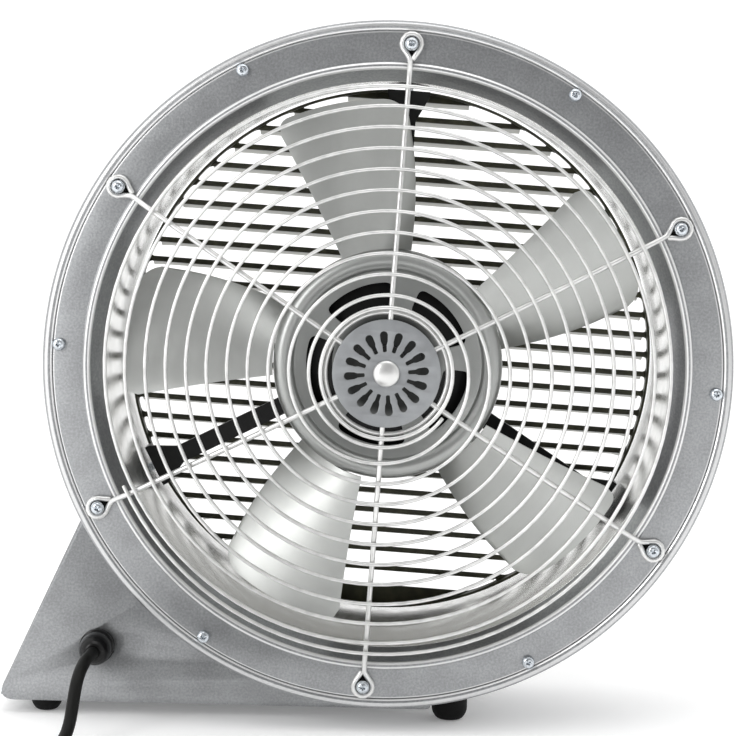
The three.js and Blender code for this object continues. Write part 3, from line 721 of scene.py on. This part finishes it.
# ================= drum, rim and face ring =================
def make_drum():
    out = SHELL_R + SHEET
    bm = bmesh.new()
    turned(bm, rounded([(SHELL_R, 19.6), (out, 19.6), (out, SHELL_BACK), (SHELL_R, SHELL_BACK)]))
    finish_piece("drum_wall", mesh_from(bm, DRUM, "drum_wall"), DRUM_WALL,
                 "frame", ["drum_shell"])
    r = out + 0.3
    bm = bmesh.new()
    turned(bm, rounded([
        (r, 32), (r, 20.6), (FACE_IN_R + 1, 7.4), (236, 7.4), (236, 8.9), (FACE_IN_R + 2, 8.9),
        (r + SHEET, 21.6), (r + SHEET, 32)]))
    finish_piece("flange_ring", mesh_from(bm, DRUM, "flange_ring"), HAMMERTONE,
                 "frame", ["drum_flange"])


def make_front_ring():
    """The flat face with a rolled bead on its inner edge and the cone behind it."""
    bead = arc(226.3, 2.9, 2.9, 0, -180, 10)
    profile = [(FACE_OUT_R, FACE_Y), (229.8, FACE_Y), *bead, (SHELL_R, 18), (216.4, 18.6),
               (FACE_IN_R, 5.5), (FACE_IN_R + 1, FACE_Y + SHEET), (FACE_OUT_R, FACE_Y + SHEET)]
    bm = bmesh.new()
    turned(bm, rounded(profile, 0.5, 2))
    finish_piece("face_ring", mesh_from(bm, DRUM, "face_ring"), RING_PAINT,
                 "frame", ["front_ring"])


def make_rim():
    """The rolled outer rim, with its flange behind the face ring."""
    y = FACE_Y + SHEET + 0.3
    roll = arc(255.6, 6.6, 4.5, -150, 0, 12)
    profile = [(232, y), (252.4, y), (252.5, 3.4), *[(r - 0.1, z) for r, z in roll[2:-1]],
               (RIM_R, 12), (RIM_R, RIM_BACK), (RIM_R - SHEET, RIM_BACK), (RIM_R - SHEET, 11),
               (256.6, 5.6), (254.6, 3.8), (254, y + SHEET), (232, y + SHEET)]
    bm = bmesh.new()
    turned(bm, rounded(profile, 0.35, 2))
    finish_piece("outer_rim", mesh_from(bm, DRUM, "outer_rim"), RING_PAINT,
                 "frame", ["casing_rim"])


def make_rear_ring():
    r = SHELL_R + SHEET + 0.9
    bead = arc(235, 177.6, 3.2, -120, 110, 10)
    profile = [(r, 166), (r + SHEET, 166), (r + SHEET, 173), (232.5, 173), *bead,
               (233.4, 176.5), (232, 174.8), (r, 174.8)]
    bm = bmesh.new()
    turned(bm, rounded(profile, 0.4, 2))
    finish_piece("rear_collar", mesh_from(bm, DRUM, "rear_collar"), HAMMERTONE,
                 "frame", ["rear_ring"])


# ================= louvred rear panel =================
def make_louvres():
    open_r = 211
    rows = int((209 - LOUVRE_PITCH / 2) // LOUVRE_PITCH)
    height = LOUVRE_PITCH - LOUVRE_BAR
    slots, slats = [], []
    for row in range(-rows, rows + 1):
        z = LOUVRE_RISE + row * LOUVRE_PITCH
        side = [(math.sqrt(open_r ** 2 - h ** 2) - inset, h) for h, inset in (
            (z - height / 2, 2.2), (z - height / 2 + 0.7, 0.6), (z - height / 4, 0), (z, 0),
            (z + height / 4, 0), (z + height / 2 - 0.7, 0.6), (z + height / 2, 2.2))]
        slots.append(side + [(-x, h) for x, h in reversed(side)])
        slats.append((z + height / 2, side[-1][0]))
    bm = plate_mesh("panel", circle_points(SHELL_R - 2, 160), slots, LOUVRE_Y, SHEET, 0.3)
    turned(bm, [(SHELL_R - 4, LOUVRE_Y - 8), (SHELL_R - 2, LOUVRE_Y - 8),
                (SHELL_R - 2, LOUVRE_Y + 1), (SHELL_R - 4, LOUVRE_Y + 1)], 160)
    slope = math.radians(LOUVRE_SLOPE)
    for top, half in slats:
        add_slat(bm, top, half - 1, slope)
    finish_piece("louvre_panel", mesh_from(bm, DRUM, "louvre_panel"), LOUVRE_METAL,
                 "frame", ["rear_louvre_panel"])


def add_slat(bm, top, half, slope):
    """One tongue, bent from the bar above it and sloping down to the rear, ends tapered."""
    t = 1.2
    section = [(0.6, 1.4), (2.6, 1.0), (LOUVRE_DEPTH * math.cos(slope),
               1.0 - (LOUVRE_DEPTH - 2.6) * math.sin(slope))]
    upper = [Vector(p) for p in section]
    lower = [p + Vector((-0.2, -t)) for p in upper]
    loop = upper + lower[::-1]
    stations = [(-half, 0), (-half + 6, 1), (half - 6, 1), (half, 0)]
    rings = []
    for x, full in stations:
        ring = []
        for y, z in loop:
            depth = y if full else min(y, LOUVRE_DEPTH * 0.55)
            ring.append(bm.verts.new((x, LOUVRE_Y + depth, top + z)))
        rings.append(ring)
    for here, there in zip(rings, rings[1:]):
        for k in range(len(loop)):
            n = (k + 1) % len(loop)
            bm.faces.new((here[k], here[n], there[n], there[k]))
    bm.faces.new(rings[0])
    bm.faces.new(rings[-1])


# ================= wire guard =================
def spiral_depth(r):
    return -DOME + 21 * (r / SHELL_R) ** 2


def spoke_depth(r):
    return spiral_depth(r) + (SPOKE_WIRE + SPIRAL_WIRE) / 2 + 0.3


def spoke_route():
    """Out over the bead, then anticlockwise round the screw in a teardrop, left open."""
    on_face = FACE_Y - 0.3 - SPOKE_WIRE / 2
    out = [(r, spoke_depth(r), 0) for r in (33, 70, 120, 170, 205, 217)]
    eyelet = [(226.5, -3, 0), (231, -0.6, 0.4), (235.5, on_face, 3.0)]
    eyelet += [(EYE_R + 7.2 * math.cos(a), on_face, 7.2 * math.sin(a))
               for a in (math.radians(118 - 26 * k) for k in range(10))]
    eyelet += [(234.6, on_face, -3.4), (232.0, on_face, -2.0)]
    return smooth_path([Vector(p) for p in out + eyelet], 2.2)


def make_eyelet_shade_sheets():
    """A thin black sheet under the wire of each eyelet: painted shade, standing in for the shadow
    inside the eyelet.
    """
    outline = [(EYE_R + 6.4 * math.cos(a), 6.4 * math.sin(a))
               for a in (math.radians(-125 + 10 * k) for k in range(26))]
    for i, angle in enumerate(EYELETS):
        place = DRUM @ at_angle(angle)
        bm = plate_mesh("pad", [*outline, (233.5, 1.6), (233.5, -1.2)], [],
                        FACE_Y - 0.28, 0.22, 0.05)
        finish_piece(f"eyelet_shade_sheet_{i + 1}", mesh_from(bm, place, f"pad_{i + 1}"), RUBBER,
                     "frame")


def spiral_point(n):
    """n turns in: evenly inwards, but round for the first and last half turns."""
    def above(x):
        return 1.5 * math.log(1 + math.exp(x / 1.5))
    outer = SPIRAL_R - above(SPIRAL_STEP * (n - 0.62))
    r = SPIRAL_END_R + above(outer - SPIRAL_END_R)
    angle = SPIRAL_START + math.degrees(DRUM_CLOCK) + 360 * n
    return SPIRAL_OFFSET + polar(r, angle, spiral_depth(r))


def make_guard():
    bm = bmesh.new()
    for a in EYELETS:
        turn = at_angle(a)
        sweep(bm, [turn @ p for p in spoke_route()], SPOKE_WIRE / 2 - 0.15, 12)
    ring = [polar(45.2, 360 * i / 96, spoke_depth(47)) for i in range(96)]
    sweep(bm, ring, 1.7, 12, closed=True)
    finish_piece("spokes", mesh_from(bm, DRUM, "spokes"), WIRE, "frame",
                 ["guard_spokes"])
    count = round(SPIRAL_TURNS * 96)
    bm = bmesh.new()
    sweep(bm, [spiral_point(SPIRAL_TURNS * i / count) for i in range(count + 1)],
          SPIRAL_WIRE / 2, 12)
    finish_piece("spiral", mesh_from(bm, DRUM, "spiral"), WIRE, "frame",
                 ["guard_spiral"])
    bm = bmesh.new()
    ring = [polar(48.6, 360 * i / 96, spiral_depth(47)) for i in range(96)]
    sweep(bm, ring, 1.6, 12, closed=True)
    finish_piece("inner_ring", mesh_from(bm, DRUM, "inner_ring"), WIRE, "frame",
                 ["guard_inner_ring"])


DISC_Y = spoke_depth(20) - SPOKE_WIRE / 2 - 0.3 - 1.6


def keyhole(degrees):
    """A radial slot, wide outside and narrow inside."""
    a = math.radians(degrees)
    outline = [(16.4, 1.4), (15.9, 0), (16.4, -1.4), (21.5, -1.6), (23.6, -2.5)]
    outline += [(28.5 + 2.9 * math.cos(b), 2.9 * math.sin(b))
                for b in (math.radians(-90 + 22.5 * k) for k in range(9))]
    outline += [(23.6, 2.5), (21.5, 1.6)]
    return [(r * math.cos(a) - t * math.sin(a), r * math.sin(a) + t * math.cos(a))
            for r, t in outline]


def make_disc():
    slots = [keyhole(98 + 22.5 * i) for i in range(16)]
    bm = plate_mesh("disc", circle_points(40, 96), [*slots, circle_points(6.2, 24)],
                    DISC_Y, 1.6, 0.35)
    finish_piece("guard_disc", mesh_from(bm, DRUM, "guard_disc"), GREY, "frame",
                 ["centre_disc"])
    seat = DISC_Y - 0.5
    dome = [(9.8 * math.sin(math.radians(t)), seat - 3.4 * math.cos(math.radians(t)))
            for t in range(0, 91, 10)]
    bm = bmesh.new()
    turned(bm, [*dome, (9.6, seat + 0.3), (5.6, seat + 0.3), (5.6, DISC_Y + 8),
                (0, DISC_Y + 8)], 48)
    finish_piece("disc_rivet", mesh_from(bm, DRUM, "disc_rivet"), RIVET,
                 "frame", ["centre_rivet"])


def screw_mesh(bm, seat, washer, place):
    """A pan head on a washer face, with a cross recess pressed in."""
    recess = [(0, seat - 1.2), (0.7, seat - 1.3), (1.5, seat - 3.7)]
    head = [(2.0, seat - 3.95), (2.9, seat - 3.8), (3.9, seat - 3.2), (4.5, seat - 2.3),
            (4.7, seat - 1.5), (washer - 0.2, seat - 1.3), (washer, seat - 0.9)]
    shank = [(washer, seat), (2.3, seat), (2.3, seat + 13), (0, seat + 13)]

    def crossed(index, radius, angle):
        return radius * (1 + 0.42 * math.cos(4 * angle)) if index in (1, 2) else radius

    turned(bm, recess + head + shank, 48, place, crossed)


def make_screws():
    rows = [("guard_screw", EYELETS, GUARD_SCREW_R, FACE_Y - 0.6 - SPOKE_WIRE, 5.0),
            ("ring_screw", BETWEEN, RING_SCREW_R, FACE_Y - 0.3, 4.9)]
    for node, angles, r, seat, washer in rows:
        for i, a in enumerate(angles):
            name = f"{node}_{i + 1}"
            bm = bmesh.new()
            screw_mesh(bm, seat, washer, at_angle(a) @ Matrix.Translation((r, 0, 0)))
            finish_piece(name + "_head", mesh_from(bm, DRUM, name), ZINC,
                         "frame", [name])


# ================= impeller =================
def cut_out(mesh, cutter):
    """The mesh less the cutter; both are used up."""
    whole, tool = (bpy.data.objects.new(m.name, m) for m in (mesh, cutter))
    for piece in (whole, tool):
        bpy.context.scene.collection.objects.link(piece)
    cut = whole.modifiers.new("cut", "BOOLEAN")
    cut.object, cut.operation, cut.solver = tool, "DIFFERENCE", "EXACT"
    bpy.context.view_layer.update()
    made = bpy.data.meshes.new_from_object(
        whole.evaluated_get(bpy.context.evaluated_depsgraph_get()))
    for piece in (whole, tool):
        bpy.data.objects.remove(piece)
    return made


def kidney(centre, inner=43, outer=63, half=26):
    """The outline of a window in the hub's cone, with round corners."""
    def at(r, a):
        p = polar(r, centre + a)
        return (p.x, p.z)

    def corner(r, a, r_step, a_step):
        return curve_corner(at(r, a - a_step), at(r, a), at(r - r_step, a), 5)

    return (arc(0, 0, outer, centre - half + 5, centre + half - 5, 14)[:-1]
            + corner(outer, half, 5, 5)
            + corner(inner, half, -5, 7)[::-1]
            + arc(0, 0, inner, centre + half - 7, centre - half + 7, 10)[1:-1]
            + corner(inner, -half, -5, -7)
            + corner(outer, -half, 5, -5)[::-1][:-1])


def make_hub():
    t = 2.4
    front = arc(80, HUB_FRONT + 8.4, 8, -5, -170, 18)
    inside = arc(80, HUB_FRONT + 8.6, 5.6, -170, -5, 14)
    profile = [(HUB_R, HUB_BACK), (HUB_R, HUB_FRONT + 9), *front, (66, 43.2), (46, 48.6),
               (30, 51.6), (26, 52), (26, 50), (14, 50), (14, 46), (6.3, 46), (6.3, 66),
               (14, 66), (14, 56), (32, 54), (48, 51), (66, 46.2), *inside,
               (HUB_R - t, HUB_FRONT + 10.6), (HUB_R - t, HUB_BACK)]
    bm = bmesh.new()
    turned(bm, profile, 160)
    windows = bmesh.new()
    for i in range(BLADES):
        outline = kidney(41.8 + math.degrees(DRUM_CLOCK) + 72 * i)
        near, far = ([windows.verts.new((x, y, z)) for x, z in outline] for y in (30, 70))
        windows.faces.new(near)
        windows.faces.new(far)
        for k in range(len(outline)):
            n = (k + 1) % len(outline)
            windows.faces.new((near[k], near[n], far[n], far[k]))
    mesh = cut_out(mesh_from(bm, DRUM, "hub"), mesh_from(windows, DRUM, "hub_windows"))
    finish_piece("hub", mesh, HUB_SATIN, "impeller", ["impeller_hub"])
    bm = bmesh.new()
    turned(bm, [(14.2, 60), (40, 61), (84.4, 69), (84.9, 70.6), (84, 71), (40, 63), (14.2, 62)],
           96)
    finish_piece("hub_backing", mesh_from(bm, DRUM, "hub_backing"), BLACK_PAINT,
                 "impeller")


def blade_point(u, v, side):
    """u from root to tip, v across the chord, side through the sheet."""
    full = HUB_R + 0.3 + (TIP_R - HUB_R - 0.3) * u
    middle = math.radians(24.65 + 4.05 * u)
    half = math.radians(17.35 - 2.05 * u)
    w = 2 * v - 1
    corner = 10 if w > 0 else 24
    inset = max(0.0, corner - (1 - abs(w)) * half * full)
    drop = u * (corner - math.sqrt(max(0.0, corner ** 2 - inset ** 2)))
    r = full - drop * u
    a = middle + w * half
    y = BLADE_MID - w * (18 - 4 * u) + 7 * (w * w - 1) + side * BLADE_SHEET / 2
    return Vector((r * math.cos(a), y, r * math.sin(a)))


def make_blade(number):
    spans, chords = 28, 36
    bm = bmesh.new()
    faces = {}
    for side in (-1, 1):
        faces[side] = [[bm.verts.new(blade_point(i / spans, j / chords, side))
                        for j in range(chords + 1)] for i in range(spans + 1)]
        grid = faces[side]
        for i in range(spans):
            for j in range(chords):
                bm.faces.new((grid[i][j], grid[i + 1][j], grid[i + 1][j + 1], grid[i][j + 1]))
    a, b = faces[-1], faces[1]
    edge = ([(i, 0) for i in range(spans)] + [(spans, j) for j in range(chords)]
            + [(i, chords) for i in range(spans, 0, -1)] + [(0, j) for j in range(chords, 0, -1)])
    for (i, j), (k, l) in zip(edge, edge[1:] + edge[:1]):
        bm.faces.new((a[i][j], a[k][l], b[k][l], b[i][j]))
    name = f"blade_{number}"
    turn = DRUM @ at_angle(math.degrees(DRUM_CLOCK) + 72 * (number - 1))
    finish_piece(name + "_sheet", mesh_from(bm, turn, name), SATIN,
                 "impeller", [name], bevel=0.4)


# ================= base =================
def slope_x(z):
    return BASE_LEFT + (APEX[0] - BASE_LEFT) / (APEX[1] - BASE_Z) * (z - BASE_Z)


def curve_corner(start, corner, end, steps=8):
    out = []
    for k in range(steps + 1):
        t = k / steps
        out.append(tuple(s * (1 - t) ** 2 + 2 * c * t * (1 - t) + e * t * t
                         for s, c, e in zip(start, corner, end)))
    return out


def base_outline():
    low = curve_corner((slope_x(BASE_Z + 14), BASE_Z + 14), (slope_x(BASE_Z + 1), BASE_Z),
                       (BASE_LEFT + 15, BASE_Z))
    x, z = STEP
    step = curve_corner((x - 4, BASE_Z), (x, BASE_Z), (x, BASE_Z + 4)) + [(x, z)]
    right = curve_corner((BASE_RIGHT - 8, z), (BASE_RIGHT, z), (BASE_RIGHT, z + 8))
    start = -math.degrees(math.acos(BASE_RIGHT / CRADLE_R))
    end = math.degrees(math.atan2(APEX[1], APEX[0]))
    return low + step + right + arc(0, 0, CRADLE_R, start, end, 60)


def make_base():
    for name, node, y, holes in (
            ("front_sheet", "base_front_plate", BASE_FRONT, [circle_points(10.4, 32, GLAND)]),
            ("rear_sheet", "base_rear_plate", BASE_BACK, [[
                (SWITCH[0] + x * 13.5, SWITCH[1] + z * 10)
                for x, z in ((-1, -1), (1, -1), (1, 1), (-1, 1))]])):
        bm = plate_mesh(name, base_outline(), holes, y, PLATE, 0.5)
        finish_piece(name, mesh_from(bm, FAN, name), HAMMERTONE, "frame",
                     [node])


def make_feet():
    for row in ("front", "rear"):
        for side in ("left", "right"):
            node = f"foot_{row}_{side}"
            low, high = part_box(node)
            place = Matrix.Translation(((low.x + high.x) / 2, (low.y + high.y) / 2, 0))
            r, top = (high.x - low.x) / 2 / MM, high.z / MM
            bm = bmesh.new()
            side = [(0, 0), (r - 6.6, 0), (r - 4.6, 0.5), (r - 3, 1.6), (r - 0.8, 5), (r, 8),
                    (r, top), (0, top)]
            turned(bm, rounded(side, 1.2, 3), 64, Matrix.Rotation(TAU / 4, 4, "X"))
            finish_piece(node + "_pad", mesh_from(bm, place, node), RUBBER,
                         "frame", [node])


def make_gland():
    place = FAN @ Matrix.Translation((GLAND[0] * MM, 0, GLAND[1] * MM))
    profile = [(0, 8.0), (5.6, 8.0), (6.8, 8.5), (8.8, 10.4), (10.9, 13.6), (12, 17), (12.4, 21),
               (12.4, 28), (11.8, 28.8), (13.4, 29.4), (13.4, BASE_FRONT - 0.3),
               (9.7, BASE_FRONT - 0.3), (9.7, 50), (0, 50)]
    bm = bmesh.new()
    turned(bm, rounded(profile, 0.4, 2), 48)
    finish_piece("gland_cap", mesh_from(bm, place, "gland_cap"), PLASTIC,
                 "frame", ["cable_gland"])


make_drum()
make_front_ring()
make_rim()
make_rear_ring()
make_louvres()
make_guard()
make_eyelet_shade_sheets()
make_disc()
make_screws()
make_hub()
for number in range(1, BLADES + 1):
    make_blade(number)
make_base()
make_feet()
make_gland()
make_handle()

# ---- CAD nodes that keep their own shape ----
KEPT = {
    BLACK_PAINT: ["motor_can", "motor_front_cap", "motor_rear_cap",
                  "motor_arm_1", "motor_arm_2", "motor_arm_3"],
    ZINC: ["arm_bolt_1", "arm_bolt_2", "arm_bolt_3"],
    SHAFT: ["motor_shaft", "motor_rotor", "front_bearing", "rear_bearing"],
    PLASTIC: ["gland_nut", "switch_bezel", "switch_rocker", "capacitor", "terminal_block"],
    HAMMERTONE: ["base_skirt"],
}
for material, names in KEPT.items():
    for node_name in names:
        mesh = frame["nodes"][node_name].data
        mesh.materials.clear()
        mesh.materials.append(material)
